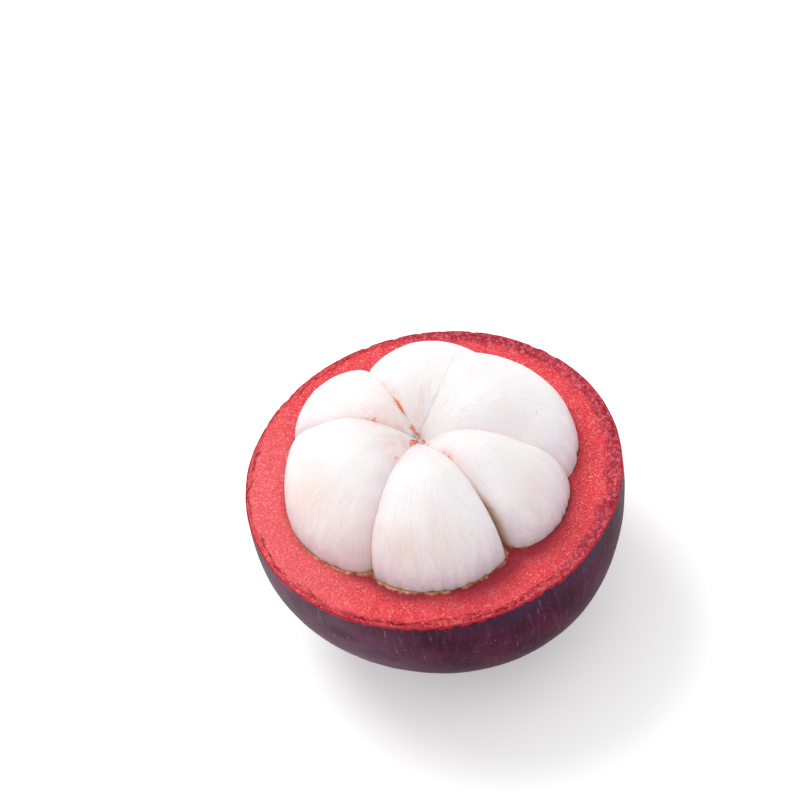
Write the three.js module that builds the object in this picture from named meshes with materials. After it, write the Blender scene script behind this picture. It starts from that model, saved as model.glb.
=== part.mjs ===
// Half a mangosteen (Garcinia mangostana), in millimetres, +Z up.
//
// The fruit is cut across, a little above its widest line, and its stem end is taken away. What stays
// is the lower half: a thick rind in the form of a bowl, six white flesh segments that fill the bowl
// and stand out of it as a lobed dome, the thin strand of the fruit's axis in the middle of them, and
// the flat woody rosette that the flower's stigma leaves under the base.
//
// The origin is the middle of the rosette's underside, which is the spot that the half stands on, and
// the cut is level. Azimuths are in degrees, from +X towards +Y, seen from above.

import * as THREE from "three";
import { mergeVertices } from "three/addons/utils/BufferGeometryUtils.js";

// ---- Driving dimensions ----

// Outside of the fruit: an oval of rotation, fuller than an ellipse.
const FRUIT_RADIUS = 30; // at its widest, so the fruit is 60 across
const EQUATOR_Z = 27.5; // height of the widest line
const BASE_DEPTH = 26.1; // from the widest line down to the skin under the base
const SKIN_FULLNESS = 2.4; // 2 is an ellipse, more is squarer
const CUT_Z = EQUATOR_Z + 2.4; // the knife's level cut
const AXIS_LEAN = -0.013; // the fruit's middle drifts along X by this much per millimetre of height
const FLANKS = 3; // gently fuller sides of the skin below the cut
const FLANK_AZIMUTH = turn(-60); // of the middle of the first one
const FLANK_SWELL = 0.018; // share of the radius
const FLANK_GROWTH = 14; // below the cut, over which the swell grows to its full share

// Flesh: six segments inside one oval, each with its own share of the turn.
const FLESH_X = AXIS_LEAN * CUT_Z - 0.7; // the flesh lies off the middle, where the rind is thinner
const FLESH_Z = CUT_Z - 1.6; // height of the flesh's widest line
const FLESH_DEPTH = 19; // from there down to its lowest point
const FLESH_FULLNESS = 2.25;
const GAP = 0.3; // between a piece and whatever it lies against
const HEART_SHARE = 0.5; // a segment's heart, as a share of its reach from the axis
const FUNNEL_SLOPE = turn(30); // rise of the segments' inner tops, outwards from the axis
const FUNNEL_TOP_Z = CUT_Z + 11; // where the inner tops meet the axis
const FACE_POWER = 8.5; // how sharply a segment's flat faces end: lower is rounder
const OVAL_POWER = 5.6; // and its outside
const SEGMENT_DETAIL = 7; // subdivision of the icosahedron that each segment is blown up from
const CLEFTS = [
  // Between two segments each, anticlockwise. past: how far the cleft passes the axis.
  { azimuth: -125, past: 0.1 },
  { azimuth: -58.5, past: -1.1 },
  { azimuth: -14, past: -1.3 },
  { azimuth: 43.5, past: 2.4 },
  { azimuth: 109.5, past: 0.15 },
  { azimuth: 152, past: 0 },
];
const SEGMENTS = [
  // The first lies between the first cleft and the second, and so on. reach: radius from the axis.
  // rise: height of the crown over FLESH_Z. drawn and drops: the shares of its reach and of its rise
  // that it loses towards those two clefts.
  { name: "front", reach: 23, rise: 18, drawn: [0.1, 0.11], drops: [0.15, 0.12] },
  { name: "front_right", reach: 23.5, rise: 17.2, drawn: [0.11, 0.07], drops: [0.13, 0.22] },
  { name: "back_right", reach: 24.7, rise: 18.3, drawn: [0.08, 0.06], drops: [0.17, 0] },
  { name: "back", reach: 23.5, rise: 18.2, drawn: [0.12, 0.13], drops: [0, 0.1] },
  { name: "back_left", reach: 24.8, rise: 16.2, drawn: [0.11, 0.06], drops: [0.09, 0.1] },
  { name: "front_left", reach: 23.1, rise: 18, drawn: [0.03, 0.11], drops: [0.18, 0.2] },
];
const DROP_GROWTH = 7; // distance from the axis over which the crown's drop grows to its full share
const DROP_END = 0.7; // share of the reach from which it fades again, towards the widest line

// Rind.
const HOLLOW_SLACK = 0.6; // between the segments and the wall of the hollow
const RIDGE_REACH = 18.7; // how close a ridge between two segments comes to the axis
const RIDGE_DEPTH = 15.2; // and how deep it starts below the flesh's widest line
const AROUND = 84; // points around the fruit
const SKIN_ROWS = 12;
const HOLLOW_ROWS = 10;

// Strand of the fruit's axis.
const STRAND_RADIUS = 0.9;
const STRAND_TOP_Z = CUT_Z + 9.4;
const STRAND_SIDES = 10;

// Rosette under the base, with one lobe to a segment.
const ROSETTE_RADIUS = 6;
const ROSETTE_NOTCH = 0.28; // depth of the notch between two lobes, as a share of the radius
const ROSETTE_THICKNESS = 1.2;
const ROSETTE_BEVEL = 0.35;
const SEAT_RADIUS = 6.8; // flat seat that the rosette has in the skin

function turn(degrees) {
  return THREE.MathUtils.degToRad(degrees);
}

function polar(azimuth, radius, z) {
  return new THREE.Vector3(radius * Math.cos(azimuth), radius * Math.sin(azimuth), z);
}

// Points of a ring around the Z axis, anticlockwise seen from above.
function ring(count, radiusAt, z) {
  return Array.from({ length: count }, (_, i) => {
    const azimuth = (i / count) * 2 * Math.PI;
    return polar(azimuth, radiusAt(azimuth), z);
  });
}

// Joins rings of points into one closed surface. It starts at the first pole, which is outside and
// below, runs over the rings in turn, and ends at the last pole.
function ringGeometry(firstPole, rings, lastPole) {
  const count = rings[0].length;
  const points = [firstPole, ...rings.flat(), lastPole];
  const last = points.length - 1;
  const faces = [];
  for (let i = 0; i < count; i++) {
    const next = (i + 1) % count;
    faces.push(0, 1 + next, 1 + i);
    for (let row = 0; row < rings.length - 1; row++) {
      const here = 1 + row * count;
      const there = here + count;
      faces.push(here + i, here + next, there + next, here + i, there + next, there + i);
    }
    faces.push(last, last - count + i, last - count + next);
  }
  const geometry = new THREE.BufferGeometry().setFromPoints(points);
  geometry.setIndex(faces);
  geometry.computeVertexNormals();
  return geometry;
}

// ---- Flesh ----

// 1 on an oval round the flesh's middle, and less inside it.
function ovalAt(p, reach, rise, depth) {
  const wide = distanceFromAxis(p) / reach;
  const high = Math.abs(p.z - FLESH_Z) / (p.z > FLESH_Z ? rise : depth);
  const sum = Math.pow(wide, FLESH_FULLNESS) + Math.pow(high, FLESH_FULLNESS);
  return Math.pow(sum, 1 / FLESH_FULLNESS);
}

function distanceFromAxis(p) {
  return Math.hypot(p.x - FLESH_X, p.y);
}

// A segment's whole surface can be seen from its heart. It is held in by five limits: its two sides,
// the end of its tip, which leaves room for the strand, the funnel face at its inner top, and an oval
// that draws in and sinks towards the sides. Each limit is 0 or less round the heart and 1 where it
// holds. The sum of their powers is 1 on the surface, which rounds the edges where two limits meet,
// the way that soft flesh swells against its neighbours. Slack lets every limit out.
function bodyOf(segment, slack = 0) {
  const { reach, rise, drawn, drops } = segment;
  const start = CLEFTS[SEGMENTS.indexOf(segment)];
  const end = CLEFTS[(SEGMENTS.indexOf(segment) + 1) % CLEFTS.length];
  const halfTurn = turn((end.azimuth - start.azimuth + 360) % 360) / 2;
  const middle = turn(start.azimuth) + halfTurn;
  const sideways = (start.past + end.past) / 2 / Math.cos(halfTurn); // to lie midway between the sides
  const outFromAxis = polar(middle, HEART_SHARE * reach, 0).add(polar(middle + Math.PI / 2, sideways, 0));
  const heart = new THREE.Vector3(FLESH_X, 0, FLESH_Z).add(outFromAxis);
  const sideFace = (azimuth, past) => {
    const normal = polar(azimuth, 1, 0);
    return { normal, depth: -normal.dot(outFromAxis) + past - GAP / 2 + slack };
  };
  const funnel = polar(middle, -Math.sin(FUNNEL_SLOPE), Math.cos(FUNNEL_SLOPE));
  const funnelTop = new THREE.Vector3(FLESH_X, 0, FUNNEL_TOP_Z);
  const faces = [
    sideFace(turn(start.azimuth - 90), -start.past),
    sideFace(turn(end.azimuth + 90), end.past),
    { normal: polar(middle, -1, 0), depth: HEART_SHARE * reach - STRAND_RADIUS - GAP + slack },
    { normal: funnel, depth: funnel.dot(funnelTop.sub(heart)) + slack },
  ];
  const pressure = (p) => {
    const fromHeart = p.clone().sub(heart);
    const share = Math.asin(Math.sin(Math.atan2(p.y, p.x - FLESH_X) - middle)) / halfTurn;
    const bend = Math.min(share * share, 2);
    const side = share < 0 ? 0 : 1;
    const radius = distanceFromAxis(p);
    const width = (reach + slack) * (1 - drawn[side] * bend);
    const { smoothstep } = THREE.MathUtils;
    const sunk = smoothstep(radius, 0, DROP_GROWTH) * (1 - smoothstep(radius / width, DROP_END, 1));
    const height = rise * (1 - drops[side] * bend * sunk) + slack;
    return faces.reduce(
      (sum, { normal, depth }) => sum + Math.pow(Math.max(normal.dot(fromHeart) / depth, 0), FACE_POWER),
      Math.pow(ovalAt(p, width, height, FLESH_DEPTH + slack), OVAL_POWER),
    );
  };
  return { heart, pressure };
}

// Halves the stretch between two distances until it holds the border of what isInside tells.
function borderBetween(inner, outer, isInside) {
  while (outer - inner > 1e-5) {
    const middle = (inner + outer) / 2;
    if (isInside(middle)) inner = middle;
    else outer = middle;
  }
  return inner;
}

function segmentGeometry(segment) {
  const { heart, pressure } = bodyOf(segment);
  const ball = new THREE.IcosahedronGeometry(1, SEGMENT_DETAIL);
  ball.deleteAttribute("normal");
  ball.deleteAttribute("uv");
  const geometry = mergeVertices(ball);
  const place = geometry.attributes.position;
  for (let i = 0; i < place.count; i++) {
    const way = new THREE.Vector3().fromBufferAttribute(place, i);
    const at = (distance) => way.clone().multiplyScalar(distance).add(heart);
    const surface = at(borderBetween(0, FRUIT_RADIUS, (distance) => pressure(at(distance)) < 1));
    place.setXYZ(i, surface.x, surface.y, surface.z);
  }
  geometry.computeVertexNormals();
  return geometry;
}

// ---- Rind ----

function skinRing(z) {
  const down = Math.abs(z - EQUATOR_Z) / BASE_DEPTH;
  const radius = FRUIT_RADIUS * Math.pow(1 - Math.pow(down, SKIN_FULLNESS), 1 / SKIN_FULLNESS);
  const swell = FLANK_SWELL * Math.min(1, (CUT_Z - z) / FLANK_GROWTH);
  return ring(AROUND, (azimuth) => radius * (1 + swell * Math.cos(FLANKS * (azimuth - FLANK_AZIMUTH))), z);
}

// Skin from the rosette's flat seat up to the rim, with its rings closer where it curves most.
function skinRings() {
  const seatZ = ROSETTE_THICKNESS + GAP;
  const low = Math.asin(Math.pow((EQUATOR_Z - seatZ) / BASE_DEPTH, SKIN_FULLNESS / 2));
  const rings = [ring(AROUND, () => SEAT_RADIUS, seatZ)];
  for (let row = 1; row <= SKIN_ROWS; row++) {
    const angle = low * (1 - row / SKIN_ROWS);
    rings.push(skinRing(EQUATOR_Z - BASE_DEPTH * Math.pow(Math.sin(angle), 2 / SKIN_FULLNESS)));
  }
  rings.push(skinRing(CUT_Z));
  for (const point of rings.flat()) point.x += AXIS_LEAN * point.z;
  return rings;
}

// Wall and floor of the hollow: they follow the segments, with a ridge into each cleft between two.
function hollowRings() {
  const bodies = SEGMENTS.map((segment) => bodyOf(segment, HOLLOW_SLACK));
  const isHollow = (p) =>
    ovalAt(p, RIDGE_REACH, RIDGE_DEPTH, RIDGE_DEPTH) < 1 || bodies.some(({ pressure }) => pressure(p) < 1);
  const wall = (start, way) => {
    const at = (distance) => way.clone().multiplyScalar(distance).add(start);
    let outer = FRUIT_RADIUS;
    while (!isHollow(at(outer - GAP))) outer -= GAP;
    return at(borderBetween(outer - GAP, outer, (distance) => isHollow(at(distance))));
  };
  const rings = [];
  for (let row = 0; row <= HOLLOW_ROWS; row++) {
    const below = row === 0 ? 0 : ((row - 1) / HOLLOW_ROWS) * (Math.PI / 2);
    const start = new THREE.Vector3(FLESH_X, 0, row === 0 ? CUT_Z : FLESH_Z);
    rings.push(ring(AROUND, () => Math.cos(below), -Math.sin(below)).map((way) => wall(start, way)));
  }
  const floor = wall(new THREE.Vector3(FLESH_X, 0, FLESH_Z), new THREE.Vector3(0, 0, -1));
  return { rings, floor };
}

function rindGeometry(hollow) {
  const seat = new THREE.Vector3(0, 0, ROSETTE_THICKNESS + GAP);
  return ringGeometry(seat, [...skinRings(), ...hollow.rings], hollow.floor);
}

// ---- Strand and rosette ----

function strandGeometry(hollow) {
  const bottom = hollow.floor.z + GAP;
  const waist = STRAND_RADIUS * 0.7;
  const rings = [
    ring(STRAND_SIDES, () => STRAND_RADIUS, bottom),
    ring(STRAND_SIDES, () => waist, (bottom + STRAND_TOP_Z) / 2),
    ring(STRAND_SIDES, () => STRAND_RADIUS, STRAND_TOP_Z - STRAND_RADIUS),
  ];
  return ringGeometry(new THREE.Vector3(0, 0, bottom), rings, new THREE.Vector3(0, 0, STRAND_TOP_Z));
}

function rosetteGeometry() {
  const lobes = SEGMENTS.length;
  const outline = (inset) => (azimuth) =>
    ROSETTE_RADIUS * (1 - ROSETTE_NOTCH * Math.pow(Math.abs(Math.sin((azimuth * lobes) / 2)), 3)) - inset;
  const count = lobes * 12;
  const rings = [
    ring(count, outline(ROSETTE_BEVEL), 0),
    ring(count, outline(0), ROSETTE_BEVEL),
    ring(count, outline(0), ROSETTE_THICKNESS),
  ];
  return ringGeometry(new THREE.Vector3(), rings, new THREE.Vector3(0, 0, ROSETTE_THICKNESS));
}

// ---- The half fruit ----

const finish = (color, roughness) => new THREE.MeshStandardMaterial({ color, roughness, metalness: 0 });
const rindSkin = finish(0x3f1c2c, 0.35);
const flesh = finish(0xf6efec, 0.4);
const strandFibre = finish(0xe79a78, 0.6);
const rosetteWood = finish(0x5a4234, 0.8);

const mangosteen = new THREE.Group();

function add(name, geometry, material) {
  const mesh = new THREE.Mesh(geometry, material);
  mesh.name = name;
  mangosteen.add(mesh);
  return mesh;
}

const hollow = hollowRings();
add("rind", rindGeometry(hollow), rindSkin);
for (const segment of SEGMENTS) add(`segment_${segment.name}`, segmentGeometry(segment), flesh);
add("axis_strand", strandGeometry(hollow), strandFibre).position.x = FLESH_X;
add("stigma_rosette", rosetteGeometry(), rosetteWood);

export default mangosteen;
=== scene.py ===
import math

import bmesh
import bpy
import numpy as np
from mathutils import Matrix, Vector, noise


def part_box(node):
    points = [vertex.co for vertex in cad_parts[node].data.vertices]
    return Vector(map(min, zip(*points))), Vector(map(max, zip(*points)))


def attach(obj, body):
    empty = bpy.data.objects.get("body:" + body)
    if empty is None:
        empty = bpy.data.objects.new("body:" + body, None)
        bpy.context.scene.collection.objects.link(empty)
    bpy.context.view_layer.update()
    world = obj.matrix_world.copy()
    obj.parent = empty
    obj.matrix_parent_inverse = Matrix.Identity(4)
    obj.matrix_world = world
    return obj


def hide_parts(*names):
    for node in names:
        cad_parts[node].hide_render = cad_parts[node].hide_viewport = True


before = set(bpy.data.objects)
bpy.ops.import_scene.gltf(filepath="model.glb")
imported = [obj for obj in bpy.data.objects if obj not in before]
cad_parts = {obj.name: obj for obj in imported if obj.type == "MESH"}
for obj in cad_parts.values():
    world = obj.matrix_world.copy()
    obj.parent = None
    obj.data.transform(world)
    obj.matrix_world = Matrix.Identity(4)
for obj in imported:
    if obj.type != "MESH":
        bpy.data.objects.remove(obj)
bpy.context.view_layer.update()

# ---- Camera ----
# It looks down on the level cut from the front, and is tipped sideways, so that the right end of the
# cut stands higher in the picture.
MM = 0.001
CUT_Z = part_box("rind")[1].z
AXIS_LEAN = -0.013  # the fruit's middle drifts along X by this much per metre of height
CUT_MIDDLE = Vector((AXIS_LEAN * CUT_Z, 0, CUT_Z))
CAMERA_ELEVATION = math.radians(50.62)
CAMERA_TIP = math.radians(11.83)
CAMERA_DISTANCE = 450 * MM
CAMERA_LENS = 128.5  # mm
CAMERA_SENSOR = 36  # mm
PICTURE_SIDE = 800  # pixels
CUT_MIDDLE_PIXEL = (432.7, 474.1)  # where the middle of the cut stands in the picture

camera = bpy.data.objects.new("camera", bpy.data.cameras.new("camera"))
bpy.context.scene.collection.objects.link(camera)
camera.data.sensor_width = CAMERA_SENSOR
camera.data.lens = CAMERA_LENS
camera.data.shift_x = 0.5 - CUT_MIDDLE_PIXEL[0] / PICTURE_SIDE
camera.data.shift_y = CUT_MIDDLE_PIXEL[1] / PICTURE_SIDE - 0.5
camera.data.clip_start = 10 * MM
camera.data.clip_end = 10
camera.matrix_world = (
    Matrix.Translation(CUT_MIDDLE)
    @ Matrix.Rotation(math.pi / 2 - CAMERA_ELEVATION, 4, "X")
    @ Matrix.Rotation(-CAMERA_TIP, 4, "Z")
    @ Matrix.Translation((0, 0, CAMERA_DISTANCE))
)
bpy.context.scene.camera = camera

# ---- Flesh segments ----
# Six juicy white arils, which grew round the fruit's axis inside the rind. Each is a soft wedge that
# swells against its neighbours, with fine fibres that run from its tip over the crown and down.
FRUIT_RADIUS = 30 * MM
FLESH_MIDDLE = CUT_MIDDLE + Vector((-0.7, 0, -1.6)) * MM
FLESH_DEPTH = 19 * MM  # from its widest line down
FLESH_FULLNESS = 2.25  # 2 is an ellipse, more is squarer
HEART_SHARE = 0.5  # a segment's heart, as a share of its reach from the axis
FUNNEL_SLOPE = math.radians(42)
FUNNEL_TOP_Z = CUT_Z + 8.7 * MM  # where the segments' inner tops meet the axis
SIDE_POWER = 70  # how sharply a segment ends at a cleft
SHOULDER_POWER = 8.5  # how roundly it nears a cleft, and the next two the funnel and the oval
FUNNEL_POWER = 8.5
OVAL_POWER = 5.6
SHOULDERS_FROM = 0.45  # of its reach: from here out a segment's sides round off
LEVEL_TIPS = 7 * MM  # so near the axis a segment loses less of its rise towards its sides
FIBRE_RADIUS = 20 * MM  # of the round that the fibres' pattern is measured along
CLEFT_BLEND = 1.6 * MM  # how far from a cleft the flesh swells freely
HALVINGS = 22  # of a reach, until it is exact


def rows_of(*columns):
    return np.stack(np.broadcast_arrays(*columns), axis=-1)


def step(values, low, high):
    """0 below low and 1 above high, smooth between them. It falls where low is above high."""
    share = np.clip((values - low) / (high - low), 0, 1)
    return share * share * (3 - 2 * share)


def around(points):
    """How far each point lies from the Z axis, and its azimuth."""
    return np.hypot(points[:, 0], points[:, 1]), np.arctan2(points[:, 1], points[:, 0])


def turned_from(azimuth, middle):
    """How far each azimuth is turned from the middle one, from half a turn back to half a turn on."""
    return (azimuth - middle + math.pi) % (2 * math.pi) - math.pi


def beside(azimuth, middle, half_width, fade):
    """1 within half_width degrees of the middle, and from there on down to 0 over the fade."""
    off = np.abs(np.degrees(turned_from(azimuth, math.radians(middle))))
    return step(off, half_width + fade, half_width)


class Segment:
    """A wedge of flesh, held in by its two sides, a funnel face at its inner top and the flesh's oval."""

    def __init__(self, name, clefts, reach, rise, drawn, drops, tip_past, tip_turn=0):
        self.name = name
        self.reach, self.rise = reach * MM, rise * MM
        self.drawn = drawn  # how much of its reach it loses towards each side
        self.drops = drops  # how much of its rise it loses towards each side
        (start, start_shift, start_round, start_press), (end, end_shift, end_round, end_press) = clefts
        start, end = math.radians(start), math.radians(end)
        end += 2 * math.pi * (end < start)
        self.middle, self.half_turn = (start + end) / 2, (end - start) / 2
        outwards = np.array((math.cos(self.middle), math.sin(self.middle), 0))
        self.axis_foot = np.array(FLESH_MIDDLE)
        self.heart = self.axis_foot + outwards * HEART_SHARE * self.reach
        self.sides = np.array(((math.sin(start), -math.cos(start), 0), (-math.sin(end), math.cos(end), 0)))
        self.depths = self.sides @ (self.axis_foot - self.heart) + np.array((-start_shift, end_shift)) * MM
        self.rounds = start_round, end_round
        self.pressed = start_press * MM, end_press * MM
        self.outwards = outwards
        turned = self.middle + math.radians(tip_turn)
        self.inwards = -np.array((math.cos(turned), math.sin(turned), 0))
        self.tip_depth = self.inwards @ (self.axis_foot - self.heart) + tip_past * MM

    def pressure(self, points, slack=0.0):
        """1 on the segment's surface, and less inside it."""
        from_heart = points - self.heart
        from_axis = points - self.axis_foot
        share = self.side_share(from_axis)
        bend = np.minimum(share**2, 2)
        radius = np.hypot(from_axis[:, 0], from_axis[:, 1])
        wide = radius / ((self.reach + slack) * (1 - np.where(share < 0, *self.drawn) * bend))
        drop = np.where(share < 0, *self.drops) * bend * step(radius, 0, LEVEL_TIPS) * step(wide, 1, 0.7)
        rise = self.rise * (1 - drop) + slack
        high = np.abs(from_axis[:, 2]) / np.where(from_axis[:, 2] > 0, rise, FLESH_DEPTH + slack)
        total = (wide**FLESH_FULLNESS + high**FLESH_FULLNESS) ** (OVAL_POWER / FLESH_FULLNESS)
        total += self.funnel_share(from_axis, radius, share, slack) ** FUNNEL_POWER
        total += np.maximum(from_heart @ self.inwards / (self.tip_depth + slack), 0) ** SIDE_POWER
        for side, depth, roundness in zip(self.sides, self.depths + self.pressed, self.rounds):
            near = np.maximum(from_heart @ side / (depth + slack), 0)
            shoulder = roundness * step(wide, SHOULDERS_FROM, 1)
            total += shoulder * near**SHOULDER_POWER + (1 - shoulder) * near**SIDE_POWER
        return total

    def funnel_share(self, from_axis, radius, share, slack):
        """0 at the height of its heart and 1 at the funnel, which is rounder where a cleft is faint."""
        flat = from_axis @ self.outwards
        faint = 1 - np.minimum(1.8 * np.where(share < 0, *self.rounds), 1)
        outwards = flat + (radius - flat) * faint - HEART_SHARE * self.reach
        top = FUNNEL_TOP_Z - self.axis_foot[2]
        up = (from_axis[:, 2]) * math.cos(FUNNEL_SLOPE) - outwards * math.sin(FUNNEL_SLOPE)
        depth = top * math.cos(FUNNEL_SLOPE) + HEART_SHARE * self.reach * math.sin(FUNNEL_SLOPE)
        return np.maximum(up / (depth + slack), 0)

    def side_share(self, from_axis):
        """0 in the segment's middle, and -1 and 1 at its sides."""
        off_middle = np.arctan2(from_axis[:, 1], from_axis[:, 0]) - self.middle
        return np.arcsin(np.sin(off_middle)) / self.half_turn


# The clefts between them, anticlockwise: azimuth, how far it passes the axis in mm, its roundness, and
# how far the two segments press into each other there.
CLEFTS = [
    (-125, 0.1, 0.4, 0.5),
    (-58.5, -1.1, 1, 0.2),
    (-14, -1.3, 0.3, 0.45),
    (43.5, 2.4, 0.06, 2.2),
    (109.5, 0.15, 0.25, 0.6),
    (152, 0, 0.9, 0.3),
]
WET_CLEFT = CLEFTS[1][0]  # a line of juice stands in it
SEGMENTS = [
    Segment("front", CLEFTS[0:2], 23, 18, drawn=(0.1, 0.11), drops=(0.15, 0.12), tip_past=0.5),
    Segment("front_right", CLEFTS[1:3], 23.5, 17.2, drawn=(0.11, 0.07), drops=(0.13, 0.22), tip_past=-0.6),
    Segment("back_right", CLEFTS[2:4], 24.7, 18.3, (0.08, 0.06), (0.17, 0), tip_past=0.4, tip_turn=12),
    Segment("back", CLEFTS[3:5], 23.5, 18.2, drawn=(0.12, 0.13), drops=(0, 0.1), tip_past=0.5),
    Segment("back_left", CLEFTS[4:6], 24.8, 16.2, drawn=(0.11, 0.085), drops=(0.09, 0.1), tip_past=-0.7),
    Segment("front_left", (CLEFTS[5], CLEFTS[0]), 23.1, 18, (0.03, 0.11), (0.18, 0.2), tip_past=0.3),
]


def grown_to(is_inside, starts, ways, furthest):
    """How far each way runs from its start until is_inside stops being true, by halving."""
    near, far = np.zeros(len(ways)), np.full(len(ways), furthest)
    for _ in range(HALVINGS):
        middle = (near + far) / 2
        inside = is_inside(starts + ways * middle[:, None])
        near, far = np.where(inside, middle, near), np.where(inside, far, middle)
    return near


def lumps(points, size, octaves=1, seed=0):
    """Soft random heights, about -1 to 1, whose lumps are that size."""
    shifted = np.asarray(points) / size + 17.3 * seed
    return np.array([noise.fractal(p, 1, 2, octaves) for p in map(Vector, shifted.tolist())])


def piece_of(name, bm, material):
    mesh = bpy.data.meshes.new(name)
    bm.to_mesh(mesh)
    bm.free()
    mesh.shade_smooth()
    mesh.materials.append(material)
    piece = bpy.data.objects.new(name, mesh)
    bpy.context.scene.collection.objects.link(piece)
    return piece


def points_of(piece):
    points = np.empty(len(piece.data.vertices) * 3)
    piece.data.vertices.foreach_get("co", points)
    return points.reshape(-1, 3)


def move_points(piece, points):
    piece.data.vertices.foreach_set("co", points.ravel())
    piece.data.update()


def paint(piece, name, values):
    """Keeps one number, or three, for each point of the piece, for its material to read."""
    kind, key = ("FLOAT_VECTOR", "vector") if values.ndim == 2 else ("FLOAT", "value")
    piece.data.attributes.new(name, kind, "POINT").data.foreach_set(key, values.ravel())


class Tone:
    """A shader socket, on which plain arithmetic works: each step adds its Math node."""

    def __init__(self, finish, socket):
        self.finish, self.socket = finish, socket

    def math(self, operation, *values):
        return self.finish.add("ShaderNodeMath", {"operation": operation}, dict(enumerate(values)))

    def __add__(self, other):
        return self.math("ADD", self, other)

    def __sub__(self, other):
        return self.math("SUBTRACT", self, other)

    def __rsub__(self, other):
        return self.math("SUBTRACT", other, self)

    def __mul__(self, other):
        return self.math("MULTIPLY", self, other)

    __radd__ = __add__
    __rmul__ = __mul__


class Finish:
    """One material. add() makes any node: its settings first, then its sockets' links and values."""

    def __init__(self, name, sockets):
        self.material = bpy.data.materials.new(name)
        self.material.use_nodes = True
        self.nodes = self.material.node_tree.nodes
        self.shader = self.nodes["Principled BSDF"]
        self.feed(self.shader, sockets)

    def feed(self, node, sockets):
        for name, value in sockets.items():
            if isinstance(value, Tone):
                self.material.node_tree.links.new(value.socket, node.inputs[name])
            else:
                node.inputs[name].default_value = value

    def add(self, kind, settings, sockets, output=0):
        node = self.nodes.new(kind)
        for name, value in settings.items():
            setattr(node, name, value)
        self.feed(node, sockets)
        return Tone(self, node.outputs[output])

    def painted(self, name, output="Fac"):
        return self.add("ShaderNodeAttribute", {"attribute_name": name}, {}, output)

    def place(self):
        return self.add("ShaderNodeTexCoord", {}, {}, "Object")

    def stretched(self, place, factors):
        return self.add("ShaderNodeVectorMath", {"operation": "MULTIPLY"}, {0: place, 1: factors})

    def clouds(self, place, size, detail=2.0, roughness=0.5, distortion=0.0):
        sockets = {"Vector": place, "Scale": 1 / size, "Detail": detail}
        sockets |= {"Roughness": roughness, "Distortion": distortion}
        return self.add("ShaderNodeTexNoise", {}, sockets)

    def stirred(self, place, size, reach):
        """The place, moved about at random by up to that reach."""
        swirl = self.add("ShaderNodeTexNoise", {}, {"Vector": place, "Scale": 1 / size}, "Color")
        swirl = self.add("ShaderNodeVectorMath", {"operation": "SUBTRACT"}, {0: swirl, 1: (0.5, 0.5, 0.5)})
        settings = {"operation": "MULTIPLY_ADD"}
        return self.add("ShaderNodeVectorMath", settings, {0: swirl, 1: (2 * reach,) * 3, 2: place})

    def spots(self, place, patches):
        """0 to 1: how much of the patches' tint a place has. They lie over the cut's middle."""
        tint = 0
        for middle, size, strength in patches:
            ends = {0: place, 1: CUT_MIDDLE + Vector(middle) * MM}
            away = self.add("ShaderNodeVectorMath", {"operation": "DISTANCE"}, ends, "Value")
            near = self.smooth(away, size * MM, 0.4 * size * MM) * strength
            tint = near.math("MAXIMUM", near, tint)
        return tint

    def cells(self, place, size, output="Distance"):
        return self.add("ShaderNodeTexVoronoi", {}, {"Vector": place, "Scale": 1 / size}, output)

    def smooth(self, value, low, high):
        """0 at low and 1 at high, smooth between them."""
        sockets = {"Value": value, "From Min": low, "From Max": high}
        return self.add("ShaderNodeMapRange", {"interpolation_type": "SMOOTHSTEP"}, sockets)

    def mixed(self, share, first, second, blend="MIX"):
        settings = {"data_type": "RGBA", "blend_type": blend}
        return self.add("ShaderNodeMix", settings, {0: share, 6: first, 7: second}, 2)

    def bumped(self, height, depth, below=None):
        sockets = {"Height": height, "Distance": depth}
        return self.add("ShaderNodeBump", {}, sockets if below is None else sockets | {"Normal": below})


def dye(red, green, blue):
    """A screen colour, each part 0 to 255, as the linear colour that a shader takes."""
    parts = (part / 255 for part in (red, green, blue))
    return *(p / 12.92 if p <= 0.04045 else ((p + 0.055) / 1.055) ** 2.4 for p in parts), 1


flesh = Finish(
    "moist_flesh",
    {
        "Roughness": 0.44,
        "Specular IOR Level": 0.4,
        "Subsurface Weight": 0.6,
        "Subsurface Radius": (1.0, 0.66, 0.58),
        "Subsurface Scale": 0.45 * MM,
    },
)
# White, warmer in clouds, cooler and greyer lower down, which is painted shade on flesh that is also more
# see-through there, with fine darker fibres and grain.
flesh_place = flesh.place()
flesh_way = flesh.painted("fibre", "Vector")
flesh_fibres = flesh.clouds(flesh.stretched(flesh_way, (1, 0.12, 0)), 0.45 * MM, 4, 0.65, 1.6)
flesh_mottle = flesh.clouds(flesh.stretched(flesh_way, (1, 0.4, 0)), 1.5 * MM, 4, 0.6, 1.0)
flesh_grain = flesh.clouds(flesh_place, 0.22 * MM, 2, 0.6)
warm = flesh.smooth(flesh.clouds(flesh_place, 4.6 * MM, 3), 0.42, 0.66)
cool = flesh.smooth(flesh_mottle, 0.4, 0.62)
low = flesh.painted("low")
flesh_colour = flesh.mixed(warm * 0.3, dye(252, 246, 248), dye(247, 233, 230))
# Painted shade: the lower flesh turns lilac-grey, more so in the mottles.
flesh_colour = flesh.mixed(low * 0.7, flesh_colour, dye(230, 226, 233))
flesh_colour = flesh.mixed(low * cool * 0.5, flesh_colour, dye(208, 208, 226))
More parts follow.
